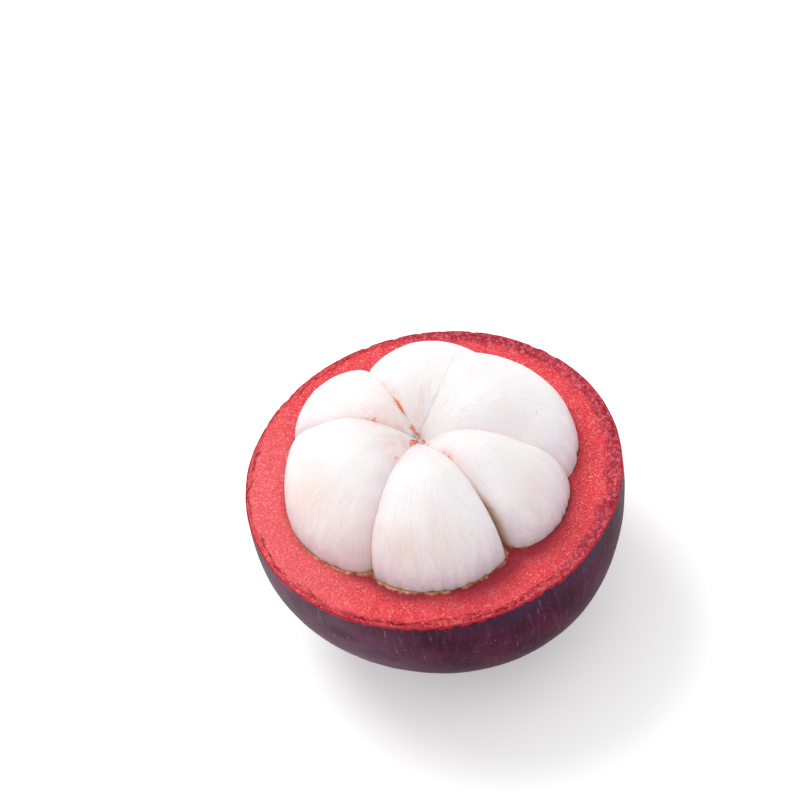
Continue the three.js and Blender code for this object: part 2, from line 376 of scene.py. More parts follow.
# Painted shade: lilac-grey on the flanks beside the clefts.
flesh_colour = flesh.mixed(flesh.painted("lilac_shade"), flesh_colour, dye(206, 200, 211))
beige = flesh.painted("beige") * (0.55 + flesh.smooth(flesh_fibres, 0.35, 0.65) * 0.35)
flesh_colour = flesh.mixed(beige, flesh_colour, dye(236, 206, 192))
flesh_colour = flesh.mixed(flesh.smooth(flesh_fibres, 0.5, 0.75) * 0.32, flesh_colour, dye(222, 202, 210))
flesh_colour = flesh.mixed(flesh.smooth(flesh_grain, 0.55, 0.7) * 0.25, flesh_colour, dye(228, 206, 208))
# Painted shade: a warm peach tint in the clefts, as of light glowing through the flesh there.
flesh_colour = flesh.mixed(flesh.painted("cleft") * 0.2, flesh_colour, dye(250, 218, 204))
streaked = 0.5 + flesh.smooth(flesh_fibres, 0.4, 0.6) * 0.5
flesh_colour = flesh.mixed(flesh.painted("blush") * streaked, flesh_colour, dye(238, 160, 130))
flesh_colour = flesh.mixed(flesh.painted("juice") * 0.6, flesh_colour, dye(196, 154, 92))
# Patches of tint: each one's middle over the middle of the cut, its size, both in mm, and its strength.
# The marks are small and sharp: torn bits of the core, and ends of veins.
MARKS = [
    ((-1.9, -1.3, 9.6), 0.8, 1),
    ((-1.9, -0.8, 9.75), 0.75, 1),
    ((-1.5, -0.6, 9.3), 0.6, 1),
    ((-1.2, -0.3, 9.0), 0.4, 0.8),
    ((-2.3, -1.4, 9.9), 0.7, 0.9),
    ((-2.4, -2.1, 10.2), 0.55, 0.9),
    ((-0.2, -0.7, 8.8), 0.4, 0.8),
    ((0.2, -2.3, 10.1), 0.4, 0.6),
    ((-4.9, -5.0, 11.8), 0.5, 0.6),
    ((2.9, -6.6, 11.4), 0.45, 0.7),
    ((3.3, -7.3, 11.4), 0.35, 0.5),
    ((2.2, -5.6, 11.2), 0.4, 0.4),
    ((-7.2, 3.5, 11.7), 0.45, 0.7),
    ((-8.1, 4.0, 11.8), 0.3, 0.5),
    ((7.6, -14.9, 6.9), 0.4, 0.6),
]
marks = flesh.spots(flesh.stirred(flesh_place, 0.45 * MM, 0.5 * MM), MARKS)
mark_colour = flesh.mixed(flesh.smooth(flesh_grain, 0.45, 0.6), dye(236, 92, 80), dye(250, 178, 104))
flesh_colour = flesh.mixed(marks, flesh_colour, mark_colour)
flesh_normal = flesh.bumped(flesh_fibres, 0.12 * MM)
flesh_normal = flesh.bumped(flesh_grain, 0.02 * MM, flesh_normal)
flesh.feed(flesh.shader, {"Base Color": flesh_colour, "Normal": flesh_normal})

# The blushes lie where the core's orange-pink ran into the flesh.
BLUSHES = [
    ((-11.0, 5.6, 11.6), 2.4, 0.16),
    ((-8.0, 4.3, 11.9), 2.4, 0.36),
    ((-5.5, 3.2, 11.7), 2.2, 0.55),
    ((-3.6, 2.2, 10.8), 1.5, 0.6),
    ((-4.1, 9.4, 12.9), 0.9, 0.3),
    ((-3.5, 7.4, 12.2), 0.9, 0.5),
    ((-3.1, 5.6, 11.8), 0.9, 0.7),
    ((-2.5, 4.1, 11.2), 0.9, 0.6),
    ((-5.4, -2.4, 12.1), 2.6, 0.5),
    ((-3.4, -1.6, 11.0), 2.0, 0.72),
    ((-4.7, -4.9, 11.6), 1.4, 0.6),
    ((-2.4, -2.2, 10.2), 1.1, 0.8),
    ((-0.8, 0.5, 8.8), 0.9, 0.5),
    ((0.3, -1.5, 9.4), 0.8, 0.4),
    ((2.4, -5.6, 11.4), 0.9, 0.5),
    ((3.1, -6.9, 11.4), 1.1, 0.6),
    ((3.9, -8.4, 11.3), 1.5, 0.35),
    ((1.5, 5.6, 13.1), 0.9, 0.3),
    ((0.9, 4.6, 12.4), 0.9, 0.4),
    ((0.2, 3.6, 11.5), 0.9, 0.35),
    ((-0.5, 2.7, 10.7), 0.8, 0.3),
    ((-1.6, -15.8, 12.3), 0.9, 0.2),
    ((-1.2, -17.9, 10.7), 0.9, 0.2),
    ((-9.2, -15.4, 8.6), 0.9, 0.25),
]
# The beiges tint the flesh beige, mostly low down beside the rind.
BEIGES = [
    ((-19, -6, 7), 6, 0.9),
    ((-14, -12, 5), 6, 0.8),
    ((-7, -19, 7), 4, 0.8),
    ((-1, -20, 7), 4, 0.5),
    ((-6, 8, 11.5), 4, 0.25),
    ((14, -12, 6), 4, 0.5),
]
# The lilac shades are painted shade on the flanks beside the clefts, where the flesh is also thin and
# glassy.
LILAC_SHADES = [
    ((-5.6, -6.4, 11.9), 1.6, 0.25),
    ((-7.3, -8.6, 11.4), 2.2, 0.35),
    ((-9.3, -11.6, 9.2), 2.4, 0.3),
    ((-11.1, -14.2, 7.2), 2.4, 0.4),
    ((-13.3, -15.5, 4.5), 2.6, 0.5),
    ((9.0, -2.3, 12.2), 2.6, 0.12),
    ((12.0, -2.8, 11.7), 2.6, 0.16),
    ((15.0, -2.9, 10.7), 2.6, 0.14),
    ((18.0, -3.8, 8.7), 2.6, 0.14),
    ((20.1, -5.0, 5.5), 2.6, 0.2),
    ((9.1, -8.2, 11.3), 1.6, 0.2),
    ((11.3, -10.4, 9.4), 1.6, 0.2),
]
# Folds in the flesh where it meets the rind: segment, azimuth, and in mm its width, its depth, and how
# high over the cut it starts.
FOLDS = [
    ("front", -110, 0.5, 0.195, 2.4),
    ("front", -97.8, 0.35, 0.39, 3.6),
    ("front", -92.8, 0.3, 0.39, 3.2),
    ("front", -87.9, 0.3, 0.39, 3.4),
    ("front", -83.3, 0.3, 0.338, 2.8),
    ("front", -76, 0.4, 0.234, 2.6),
    ("front_right", -27.7, 0.35, 0.208, 1.6),
    ("front_right", -31.4, 0.4, 0.26, 2.6),
    ("front_right", -35.2, 0.35, 0.195, 2.2),
    ("front_right", -41.1, 0.4, 0.195, 2.2),
    ("back_right", -4, 0.6, 0.208, 2.2),
    ("front_left", -140, 0.7, 0.182, 2.6),
]


def tinted(points, patches):
    """0 to 1: how much of the patches' tint each point has."""
    tint = np.zeros(len(points))
    for middle, size, strength in patches:
        near = np.exp(-np.sum((points - middle) ** 2, axis=1) / size**2)
        tint = np.maximum(tint, strength * near)
    return tint


for segment in SEGMENTS:
    bm = bmesh.new()
    bmesh.ops.create_icosphere(bm, subdivisions=6, radius=1)
    piece = piece_of(f"flesh_{segment.name}", bm, flesh.material)
    ways = points_of(piece)
    reached = grown_to(lambda p: segment.pressure(p) < 1, segment.heart, ways, FRUIT_RADIUS)
    surface = segment.heart + ways * reached[:, None]

    from_axis = surface - segment.axis_foot
    _, azimuth = around(from_axis)
    from_top = np.arccos(from_axis[:, 2] / np.linalg.norm(from_axis, axis=1))
    across = turned_from(azimuth, segment.middle) * FIBRE_RADIUS
    along = from_top * FIBRE_RADIUS
    side_depth = np.min(segment.depths - (surface - segment.heart) @ segment.sides.T, axis=1)

    # Relief in mm: soft swellings, fibres that stand out more lower down, and the folds at its foot.
    free = step(side_depth, 0, CLEFT_BLEND)
    over_middle = (surface - np.array(CUT_MIDDLE)) / MM
    over_cut = over_middle[:, 2]
    low = step(over_cut, 11.5, 0)
    relief = free * (0.18 * lumps(surface, 7 * MM, seed=1) + 0.05 * lumps(surface, 2.2 * MM, seed=2))
    relief += free * low * 0.1 * lumps(rows_of(across, along / 7, 0), 1.7 * MM, 2, seed=3)
    relief += 0.022 * lumps(rows_of(across, along / 10, 0), 0.55 * MM, 2, seed=4)
    for name, fold_azimuth, width, depth, height in FOLDS:
        if name == segment.name:
            off = turned_from(azimuth, math.radians(fold_azimuth)) * segment.reach / MM
            relief -= depth * np.exp(-((off / width) ** 2)) * step(over_cut, height, 0)
    move_points(piece, surface + ways * relief[:, None] * MM)

    # Tints, and juice along the foot of the front and in one cleft.
    blush = tinted(over_middle, BLUSHES) * (0.6 + 0.45 * lumps(surface, 0.9 * MM, 3, seed=5))
    wet = 0.3 + 0.5 * lumps(surface, 1.3 * MM, 2, seed=6)
    wet_edge = np.clip(wet, 0, 1) * step(over_cut + 0.5 * wet, 1.1, 0.3)
    wet_edge *= beside(azimuth, middle=-95, half_width=60, fade=15)
    wet_cleft = step(side_depth, 1 * MM, 0.3 * MM) * step(over_cut, 10, 6)
    wet_cleft *= beside(azimuth, WET_CLEFT, half_width=8, fade=6)
    paint(piece, "fibre", rows_of(across, along, 0))
    # How far down the flesh lies, for its relief and its painted shade.
    paint(piece, "low", low)
    paint(piece, "beige", tinted(over_middle, BEIGES))
    paint(piece, "lilac_shade", tinted(over_middle, LILAC_SHADES))
    # Where the painted warm shade lies, deep in a cleft.
    depth_of_cleft = np.minimum(4 * np.where(segment.side_share(from_axis) < 0, *segment.rounds), 1)
    paint(piece, "cleft", depth_of_cleft * step(side_depth, 0.9 * MM, 0.1 * MM))
    paint(piece, "blush", np.clip(blush, 0, 1))
    paint(piece, "juice", np.maximum(wet_edge, wet_cleft))
    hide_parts(f"segment_{segment.name}")
    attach(piece, "root")

# ---- Rind: its red, grainy wall ----
# The thick, soft inside of the rind, cut level by the knife. It is one closed body: the cut, the
# hollow that the flesh lies in, and the outer wall under the skin. The blade tore it near the skin.
EQUATOR_Z = CUT_Z - 2.4 * MM
BASE_DEPTH = 26.1 * MM  # from the widest line down to the skin under the base
SKIN_FULLNESS = 2.4
FLANKS = 3  # gently fuller sides of the skin below the cut
FLANK_AZIMUTH = math.radians(-60)
FLANK_SWELL = 0.018
FLANK_GROWTH = 14 * MM
SKIN_THICKNESS = 0.2 * MM
WALL_STEPS = 1200
FACE_ROWS = 52
HOLLOW_ROWS = 9
OUTSIDE_ROWS = 6
RIDGE_REACH = 18.7 * MM  # how close a ridge between two segments comes to the axis
RIDGE_DEPTH = 15.2 * MM
PLAIN_HOLLOW = 22 * MM  # radius of the plain bowl's hollow, before it takes the flesh's shape
ROUGH_HALVINGS = 9
TEAR_WIDTH = 0.12  # mm, as are the next two and the tears below
BAND_WIDTH = 1.5  # of the crumbly band beside the skin
NARROWEST_BAND = 0.4
TINY = 0.01 * MM


def skin_place(azimuth, z, inset=0.0):
    """Points of the skin, or of a surface that far inside it."""
    down = np.abs(z - EQUATOR_Z) / BASE_DEPTH
    radius = FRUIT_RADIUS * np.maximum(1 - down**SKIN_FULLNESS, 0) ** (1 / SKIN_FULLNESS)
    swell = FLANK_SWELL * np.clip((CUT_Z - z) / FLANK_GROWTH, 0, 1)
    radius = radius * (1 + swell * np.cos(FLANKS * (azimuth - FLANK_AZIMUTH)))
    plain = rows_of(radius * np.cos(azimuth), radius * np.sin(azimuth), z)
    radius = radius + np.minimum(radius / FRUIT_RADIUS * 2, 1) * MM * (
        0.1 * lumps(plain, 9 * MM, seed=5) + 0.04 * lumps(plain, 2.4 * MM, seed=6)
    )
    radius = radius - inset
    return rows_of(AXIS_LEAN * z + radius * np.cos(azimuth), radius * np.sin(azimuth), z)


def skin_thickness(azimuth):
    ring = rows_of(FRUIT_RADIUS * np.cos(azimuth), FRUIT_RADIUS * np.sin(azimuth), CUT_Z)
    return SKIN_THICKNESS * (1 + 0.6 * lumps(ring, 1.3 * MM, 2, seed=7))


def spun(profile, steps):
    """The profile, which runs from the axis to the axis, turned once round."""
    bm = bmesh.new()
    corners = [bm.verts.new((radius, 0, z)) for radius, z in profile]
    edges = [bm.edges.new(pair) for pair in zip(corners, corners[1:])]
    turn = {"cent": (0, 0, 0), "axis": (0, 0, 1), "angle": 2 * math.pi, "steps": steps}
    bmesh.ops.spin(bm, geom=corners + edges, use_merge=True, **turn)
    bmesh.ops.remove_doubles(bm, verts=bm.verts, dist=1e-8)
    bmesh.ops.recalc_face_normals(bm, faces=bm.faces)
    return bm


def in_hollow(points):
    """True where the flesh lies, and in the round middle that the ridges leave."""
    from_middle = points - np.array(FLESH_MIDDLE)
    wide = np.hypot(from_middle[:, 0], from_middle[:, 1]) / RIDGE_REACH
    inside = np.hypot(wide, from_middle[:, 2] / RIDGE_DEPTH) < 1
    for segment in SEGMENTS:
        inside = inside | (segment.pressure(points, slack=0.05 * MM) < 1)
    return inside


def distance_to_flesh(points, furthest):
    """About how far each point lies outside the nearest segment, by halving."""
    near, far = np.zeros(len(points)), np.full(len(points), furthest)
    for _ in range(ROUGH_HALVINGS):
        middle = (near + far) / 2
        reached = np.any([segment.pressure(points, middle) < 1 for segment in SEGMENTS], axis=0)
        near, far = np.where(reached, near, middle), np.where(reached, middle, far)
    return near


# Coral red, mottled and grainy, with pale flecks that are cream specks of the pulp and also painted glints
# on its wet grain.
pulp = Finish("grainy_pulp", {"Specular IOR Level": 0.35})
pulp_place = pulp.place()
tear_shade = pulp.painted("tear_shade")
juice = pulp.painted("juice")
coarse = pulp.painted("coarse")
pulp_mottle = pulp.clouds(pulp_place, 1.7 * MM, 3)
pulp_grain = pulp.clouds(pulp_place, 0.36 * MM, 4, 0.8)
painted_light_left = pulp.painted("pale")
flecks_place = pulp.stirred(pulp_place, 0.6 * MM, 0.15 * MM)
flecks_and_glints = pulp.smooth(pulp.cells(flecks_place, 0.36 * MM), 0.4, 0.2)
flecks_and_glints = flecks_and_glints * pulp.smooth(pulp.cells(flecks_place, 0.36 * MM, "Color"), 0.5, 0.85)
pulp_colour = pulp.mixed(pulp.smooth(pulp_mottle, 0.3, 0.7), dye(229, 47, 60), dye(243, 71, 81))
# Painted light: the left of the cut, where the lamp's light and sheen fall, is paler and pinker.
pulp_colour = pulp.mixed(painted_light_left * 0.35, pulp_colour, dye(250, 128, 130))
pulp_colour = pulp.mixed(pulp.smooth(pulp_grain, 0.48, 0.38) * 0.55, pulp_colour, dye(168, 16, 34))
pulp_colour = pulp.mixed(pulp.smooth(pulp_grain, 0.53, 0.64) * 0.7, pulp_colour, dye(255, 140, 136))
# The band beside the skin: crimson crumbs, some paler than others, with painted shade in the gaps and
# hollows between them.
crumbs = pulp.cells(flecks_place, 0.55 * MM)
crumb_kind = pulp.smooth(pulp.cells(flecks_place, 0.55 * MM, "Color"), 0.3, 0.8)
crumb_colour = pulp.mixed(crumb_kind, dye(206, 34, 50), dye(246, 96, 98))
purple_colour = pulp.mixed(crumb_kind, dye(168, 26, 66), dye(248, 112, 136))
purple = pulp.painted("purple") * pulp.smooth(pulp_mottle, 0.3, 0.55)
crumb_colour = pulp.mixed(purple, crumb_colour, purple_colour)
# Painted shade in the gaps between the crumbs.
crumb_colour = pulp.mixed(pulp.smooth(crumbs, 0.42, 0.62) * 0.48, crumb_colour, dye(128, 10, 36))
pulp_colour = pulp.mixed(coarse, pulp_colour, crumb_colour)
# Pale flecks: cream specks, with painted glints on the wet grain.
pulp_colour = pulp.mixed(flecks_and_glints * (0.85 - coarse * 0.5), pulp_colour, dye(255, 192, 172))
# The tears and the hollows between the crumbs get painted shade, as does the cut at the foot of the flesh,
# and the juice there is tan to olive.
pulp_colour = pulp.mixed(tear_shade * 0.75, pulp_colour, dye(122, 10, 28))
# Painted shade: dark crimson on the cut beside the flesh and all over the hollow under it. The same mask
# makes the cut glossier there.
painted_shade_by_flesh = pulp.painted("painted_shade_by_flesh")
pulp_colour = pulp.mixed(painted_shade_by_flesh, pulp_colour, dye(146, 18, 44))
juice_clouds = pulp.smooth(pulp.clouds(pulp_place, 0.6 * MM, 3), 0.42, 0.6)
juice_colour = pulp.mixed(juice_clouds, dye(176, 108, 70), dye(214, 150, 122))
juice_colour = pulp.mixed(pulp.painted("olive"), juice_colour, dye(182, 132, 78))
pulp_colour = pulp.mixed(juice * 0.9, pulp_colour, juice_colour)
pulp_normal = pulp.bumped(pulp_grain * (1.0 - juice), 0.17 * MM)
pulp_normal = pulp.bumped(crumbs * coarse, -0.28 * MM, pulp_normal)
pulp_roughness = 0.5 - painted_shade_by_flesh * 0.12 - juice * 0.2
pulp.feed(
    pulp.shader,
    {"Base Color": pulp_colour, "Roughness": pulp_roughness, "Normal": pulp_normal},
)

# A plain bowl first, whose points then move: the hollow's out to the flesh, the cut's between the
# hollow and the skin, and the outside's onto the inside of the skin.
profile = [(0, FLESH_MIDDLE.z - PLAIN_HOLLOW)]
for row in range(1, HOLLOW_ROWS + 1):
    angle = math.pi / 2 * (row / HOLLOW_ROWS) ** 0.8
    profile.append((PLAIN_HOLLOW * math.sin(angle), FLESH_MIDDLE.z - PLAIN_HOLLOW * math.cos(angle)))
profile.append((PLAIN_HOLLOW, (FLESH_MIDDLE.z + CUT_Z) / 2))
for row in range(FACE_ROWS + 1):
    share = row / FACE_ROWS * (1.35 - 0.35 * row / FACE_ROWS)  # closer together by the skin
    profile.append((PLAIN_HOLLOW + (FRUIT_RADIUS - PLAIN_HOLLOW) * share, CUT_Z))
for row in range(1, OUTSIDE_ROWS + 1):
    angle = math.pi / 2 * (row / OUTSIDE_ROWS)
    outside_z = CUT_Z - (CUT_Z - EQUATOR_Z + BASE_DEPTH - 1 * MM) * math.sin(angle) ** 0.9
    profile.append((FRUIT_RADIUS * math.cos(angle) if row < OUTSIDE_ROWS else 0, outside_z))
rind_wall = piece_of("rind_wall", spun(profile, WALL_STEPS), pulp.material)

plain = points_of(rind_wall)
radius, azimuth = around(plain)
on_face = np.abs(plain[:, 2] - CUT_Z) < TINY
outside = (radius > PLAIN_HOLLOW + TINY) | (plain[:, 2] < FLESH_MIDDLE.z - PLAIN_HOLLOW - TINY)
outside &= ~on_face
hollow = ~on_face & ~outside

walls = np.empty_like(plain)
level = on_face | (plain[:, 2] >= FLESH_MIDDLE.z - 0.001 * MM)
starts = rows_of(FLESH_MIDDLE.x, 0 * azimuth, np.where(level, plain[:, 2], FLESH_MIDDLE.z))
ways = rows_of(np.cos(azimuth), np.sin(azimuth), 0 * azimuth)
ways = np.where(level[:, None], ways, plain - np.array((0, 0, FLESH_MIDDLE.z)))
ways /= np.linalg.norm(ways, axis=1)[:, None]
inner = on_face | hollow
reached = grown_to(in_hollow, starts[inner], ways[inner], FRUIT_RADIUS)
walls[inner] = starts[inner] + ways[inner] * reached[:, None]

face_azimuth = azimuth[on_face]
edge = skin_place(face_azimuth, np.full(on_face.sum(), CUT_Z), skin_thickness(face_azimuth))
brink = walls[on_face]
share = (radius[on_face] - PLAIN_HOLLOW) / (FRUIT_RADIUS - PLAIN_HOLLOW)
face = brink + (edge - brink) * share[:, None]
width = np.linalg.norm(edge - brink, axis=1)
from_skin = (1 - share) * width / MM
from_flesh = distance_to_flesh(face, 9 * MM) / MM

# Torn grooves beside the skin: middle azimuth and half-length in degrees, and in mm the distance from
# the skin and the depth.
TEARS = [
    (168, 17, 0.5, 0.3),
    (198, 12, 0.7, 0.32),
    (217, 8, 1.2, 0.24),
    (-112, 14, 0.6, 0.36),
    (-92, 10, 1.3, 0.3),
    (-80, 12, 0.6, 0.34),
    (-64, 8, 1.0, 0.26),
    (-30, 16, 0.5, 0.2),
    (8, 14, 0.6, 0.2),
    (60, 24, 0.5, 0.18),
    (118, 18, 0.6, 0.26),
]
DEEPEST_TEAR = max(depth for *_, depth in TEARS)
# Painted shade on the cut beside the flesh: middle azimuth, half-width and fade in degrees, the distances
# from the flesh in mm at which it ends and is full, and its strength.
SHADES = [
    (-60, 30, 45, 4, 0.5, 0.25),
    (-66, 8, 32, 8, 1.5, 0.55),
    (-61, 2, 12, 4.5, 1, 0.35),
    (-95, 30, 20, 5, 1, 0.18),
    (-117, 8, 16, 3.2, 0.6, 0.7),
]

# The tears, whose way wanders and which break off here and there.
grooves = np.zeros(len(face))
wander = lumps(face, 2.6 * MM, 3, seed=20)
for middle, half_length, distance, depth in TEARS:
    across = (from_skin - distance - 0.6 * wander) / TEAR_WIDTH
    groove = beside(face_azimuth, middle, 0.6 * half_length, 0.4 * half_length) * np.exp(-(across**2))
    grooves = np.maximum(grooves, depth * groove)
grooves *= 0.55 + 0.6 * step(lumps(face, 1.1 * MM, 2, seed=8), -0.35, 0.25)
# The crumbly band is wide on the right and thin at the back left.
coarse_side = beside(face_azimuth, middle=18, half_width=52, fade=45)
thin_side = beside(face_azimuth, middle=150, half_width=45, fade=30)
coarse_width = BAND_WIDTH + 1.3 * coarse_side - 0.9 * thin_side
coarse_width += (0.5 + 0.6 * coarse_side) * lumps(face, 2.4 * MM, 3, seed=9)
coarse_width = np.maximum(coarse_width, NARROWEST_BAND)
crumbly = step(from_skin, coarse_width, 0.5 * coarse_width)
along_rim = rows_of(edge[:, 0] / 2, edge[:, 1] / 2, from_skin * MM)
billows = np.abs(lumps(along_rim, 0.4 * MM, 2, seed=10))
# Juice stands along the foot of the flesh in front.
wet_width = 0.12 + 0.25 * beside(face_azimuth, -116, 14, 14) + 0.55 * lumps(face, 0.9 * MM, 3, seed=14)
juice_values = beside(face_azimuth, -108, 44, 20) * step(from_flesh, wet_width + 0.35, wet_width)
# Relief of the cut in mm: grain, crumbs and tears, long waves, a dip beside the flesh, and the juice.
rise = 0.05 * lumps(face, 1.5 * MM, 2, seed=11) + 0.035 * lumps(face, 0.4 * MM, 1, seed=12)
rise += (crumbly * (0.5 * billows - 0.12) - grooves) * step(from_skin, -0.15, 0.25)
rise += 0.1 * lumps(face, 9 * MM, seed=13) * step(from_flesh, 0, 2) * step(from_skin, 0, 2)
dry = 1 - juice_values
rise -= dry * 0.12 * step(from_flesh, 0.7, 0) + 0.12 * step(from_flesh, 2.6, 0.3)
rise += juice_values * (0.14 * step(from_flesh, 0.6, 0) + 0.1 * lumps(face, 0.7 * MM, 2, seed=23))
face[:, 2] += rise * MM
walls[on_face] = face

low_z = plain[outside, 2]
walls[outside] = skin_place(azimuth[outside], low_z, skin_thickness(azimuth[outside]))
pole = outside & (radius < TINY)
walls[pole] = (AXIS_LEAN * plain[pole, 2].min(), 0, plain[pole, 2].min())
move_points(rind_wall, walls)

# Painted shade: a little all round the foot of the flesh, and more where the table puts it.
shade = 0.3 * step(from_flesh, 1.4, 0)
for middle, half_width, fade, end, full, strength in SHADES:
    shade += strength * beside(face_azimuth, middle, half_width, fade) * step(from_flesh, end, full)
# Painted shade in the tears and in the hollows between the crumbs' billows.
tear_shade_values = grooves / DEEPEST_TEAR + 0.25 * crumbly * step(billows, 0.06, 0.01)
FACE_PAINTS = {
    "painted_shade_by_flesh": np.minimum(shade, 0.85),
    "tear_shade": np.clip(tear_shade_values, 0, 1),
    "coarse": crumbly * (0.75 - 0.35 * thin_side),
    "purple": 0.15 + 0.85 * coarse_side,
    # Where the painted light on the left of the cut lies.
    "pale": beside(face_azimuth, middle=188, half_width=26, fade=34),
    "juice": juice_values,
    "olive": step(from_flesh, 0.5, 0.1),
}
# Off the cut each paint is 0, except the painted shade, which is full on the hollow under the flesh and
# inside the skin.
for name, values in FACE_PAINTS.items():
    all_values = np.full(len(plain), float(name == "painted_shade_by_flesh"))
    all_values[on_face] = values
    paint(rind_wall, name, all_values)
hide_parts("rind")
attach(rind_wall, "root")

# ---- Rind: its skin ----
# A thin, tough, dark purple skin all over the outside, grown onto the red wall and cut off with it at
# the rim. It is glossy and finely wrinkled, with faint upright streaks, red flecks and pale scuffs.
SKIN_STEPS = 640
SKIN_ROWS = 84
ROWS_PER_LINING_ROW = 4
RIM_ROWS = (0.3, 0.5, 0.64, 0.75, 0.84, 0.91, 0.96, 1)  # shares of the way up from the widest line
BASE_Z = EQUATOR_Z - BASE_DEPTH

# Dark purple in clouds, with streaks that run up the side: their pattern hardly changes with height.
skin = Finish("purple_skin", {"IOR": 1.12})
skin_object = skin.place()
skin_flat = skin.stretched(skin_object, (1, 1, 0))
skin_round = skin.add("ShaderNodeVectorMath", {"operation": "NORMALIZE"}, {0: skin_flat})
skin_round = skin.stretched(skin_round, (FRUIT_RADIUS,) * 3)
skin_height = skin.stretched(skin_object, (0, 0, 0.12))
skin_upright = skin.add("ShaderNodeVectorMath", {"operation": "ADD"}, {0: skin_round, 1: skin_height})
skin_streaks = skin.clouds(skin_upright, 0.5 * MM, 3, 0.65)
skin_clouds = skin.clouds(skin_object, 6 * MM, 3)
skin_wrinkles = skin.clouds(skin_object, 0.8 * MM, 4, 0.55, 0.6)
skin_colour = skin.mixed(skin.smooth(skin_clouds, 0.35, 0.7), dye(52, 9, 30), dye(74, 20, 46))
skin_colour = skin.mixed(skin.smooth(skin_streaks, 0.45, 0.75) * 0.45, skin_colour, dye(104, 56, 84))
# Painted reflection: a grey-blue sheen just below the rim at the front.
skin_colour = skin.mixed(skin.painted("painted_blue_sheen"), skin_colour, dye(62, 46, 72))
# Painted reflection: a mauve sheen on the left front.
skin_colour = skin.mixed(skin.painted("painted_mauve_sheen"), skin_colour, dye(120, 88, 112))
red_dots = skin.smooth(skin.cells(skin_object, 0.5 * MM), 0.34, 0.14)
red_dots = red_dots * skin.smooth(skin.cells(skin_object, 0.5 * MM, "Color"), 0.58, 0.7)
skin_colour = skin.mixed(red_dots * 0.4, skin_colour, dye(134, 36, 60))
skin_scuffs = skin.smooth(skin.clouds(skin_object, 2.2 * MM), 0.54, 0.62)
skin_scuffs = skin_scuffs * skin.smooth(skin_streaks, 0.6, 0.7)
skin_colour = skin.mixed(skin_scuffs * 0.3, skin_colour, dye(168, 132, 150))
pale_dots = skin.smooth(skin.cells(skin_object, 0.9 * MM), 0.16, 0.06)
pale_dots = pale_dots * skin.smooth(skin.cells(skin_object, 0.9 * MM, "Color"), 0.66, 0.72)
skin_colour = skin.mixed(pale_dots * 0.4, skin_colour, dye(186, 152, 168))
skin_colour = skin.mixed(skin.painted("lip"), skin_colour, dye(196, 42, 60))
skin_normal = skin.bumped(skin_wrinkles, 0.1 * MM)
skin_normal = skin.bumped(skin_streaks, 0.03 * MM, skin_normal)
skin.feed(
    skin.shader,
    {"Base Color": skin_colour, "Roughness": 0.36 + skin_streaks * 0.16, "Normal": skin_normal},
)

profile = [(0, BASE_Z)]
for row in range(1, SKIN_ROWS + 1):
    angle = math.pi / 2 * (1 - row / SKIN_ROWS)
    profile.append((PLAIN_HOLLOW, EQUATOR_Z - BASE_DEPTH * math.sin(angle) ** (2 / SKIN_FULLNESS)))
for share in RIM_ROWS:
    profile.append((PLAIN_HOLLOW, EQUATOR_Z + (CUT_Z - EQUATOR_Z) * share))
lining_rows = profile[ROWS_PER_LINING_ROW::ROWS_PER_LINING_ROW]
lining = [(PLAIN_HOLLOW - 1 * MM, z) for _, z in lining_rows]
profile += [(PLAIN_HOLLOW - 1 * MM, CUT_Z)] + lining[::-1]
profile.append((0, BASE_Z + SKIN_THICKNESS))
rind_skin = piece_of("rind_skin", spun(profile, SKIN_STEPS), skin.material)
plain = points_of(rind_skin)
radius, azimuth = around(plain)
is_lining = (radius < PLAIN_HOLLOW - 0.5 * MM) & (radius > TINY)
inset = np.where(is_lining, skin_thickness(azimuth), 0)
surface = skin_place(azimuth, plain[:, 2], inset)
pole = radius < TINY
surface[pole] = rows_of(AXIS_LEAN * BASE_Z, 0, plain[pole, 2])
# The blade chipped its edge.
by_rim = step(plain[:, 2], CUT_Z - 1.3 * MM, CUT_Z)
rim = rows_of(surface[:, 0], surface[:, 1], CUT_Z)
chips = 0.25 * step(lumps(rim, 1.5 * MM, 2, seed=15), 0.05, 0.55) + 0.06 * lumps(rim, 0.5 * MM, seed=16)
surface[:, 2] -= by_rim * chips * MM
move_points(rind_skin, surface)
# Painted reflections, a grey-blue sheen in front and a mauve one on the left, and red pulp smeared over the
# edge.
depth = (CUT_Z - plain[:, 2]) / MM
painted_blue_sheen = beside(azimuth, middle=-62, half_width=14, fade=28) * step(depth, 5.5, 1.5)
painted_blue_sheen = painted_blue_sheen * (0.8 + 0.5 * lumps(plain, 5 * MM, seed=17))
paint(rind_skin, "painted_blue_sheen", np.clip(0.6 * painted_blue_sheen, 0, 1))
painted_mauve_sheen = beside(azimuth, middle=-142, half_width=12, fade=34)
painted_mauve_sheen = painted_mauve_sheen * (0.8 + 0.6 * lumps(plain, 4 * MM, 2, seed=21))
paint(rind_skin, "painted_mauve_sheen", np.clip(0.4 * painted_mauve_sheen, 0, 1))
lip_depth = np.maximum(0.3 + 0.7 * lumps(plain, 1 * MM, 2, seed=24), 0.05)
paint(rind_skin, "lip", 0.9 * step(depth, lip_depth, 0))
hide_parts("rind")
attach(rind_skin, "root")

# ---- Strand of the fruit's axis ----
# What is left of the core between the segments' tips: a soft orange-pink plug, torn off at its top,
# and the thin orange-red fibres that run from it into the clefts and lie on the flesh.
STRAND_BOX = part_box("axis_strand")
STRAND_RADIUS = STRAND_BOX[1].y
MOUND_TOP_Z = CUT_Z + 8.7 * MM
MOUND_RADIUS = 1.6 * MM
MOUND_ROUNDNESS = 1 * MM  # how much lower its edge is than its top
MOUND_ROWS = 24
MOUND_STEPS = 96

